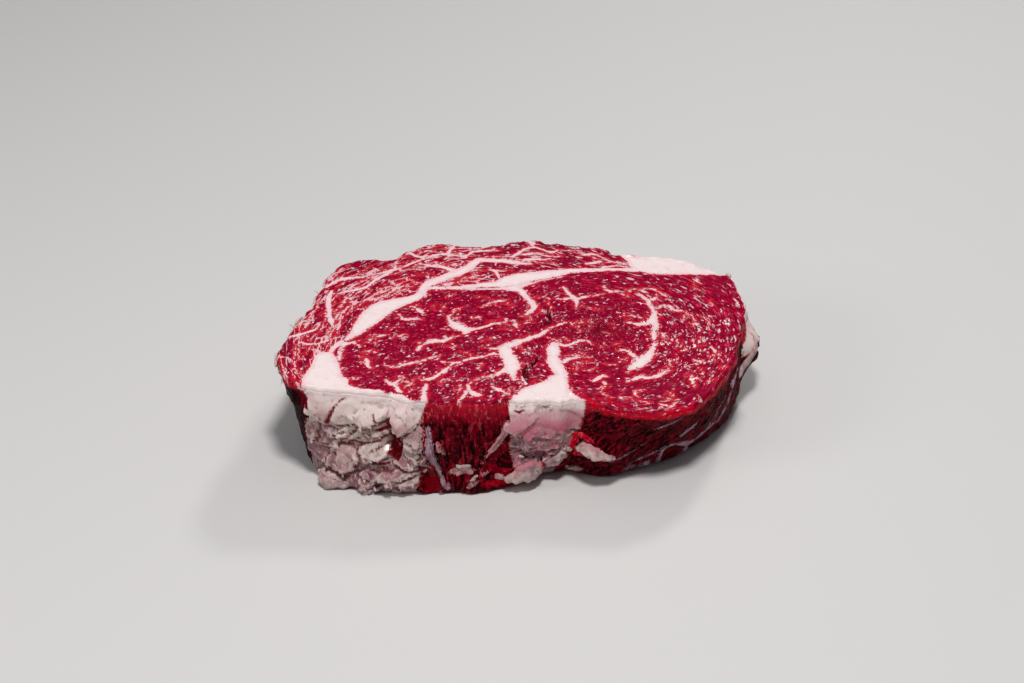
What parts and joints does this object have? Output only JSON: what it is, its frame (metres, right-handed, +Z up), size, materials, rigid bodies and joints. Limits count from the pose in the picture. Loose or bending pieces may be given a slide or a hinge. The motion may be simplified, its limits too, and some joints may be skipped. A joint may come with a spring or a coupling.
{
  "type": "raw ribeye steak",
  "caption": "Raw boneless ribeye steak, cut thick: marbled eye and cap, pale fat seams, torn fat and skinned muscle round the side, flat underneath.",
  "frame": {"origin": "middle of the underside, at the middle of the box round the whole steak, on the surface that the steak lies on", "axes": "+X along the long side towards the thinner end, +Y towards the cap muscle, +Z up out of the cut face"},
  "size_m": [0.1845, 0.1224, 0.043],
  "materials": {
    "raw_beef": "moist raw beef, crimson muscle with cream fat, softly glossy"
  },
  "bodies": {
    "root": {"steak": "raw_beef"}
  },
  "joints": []
}
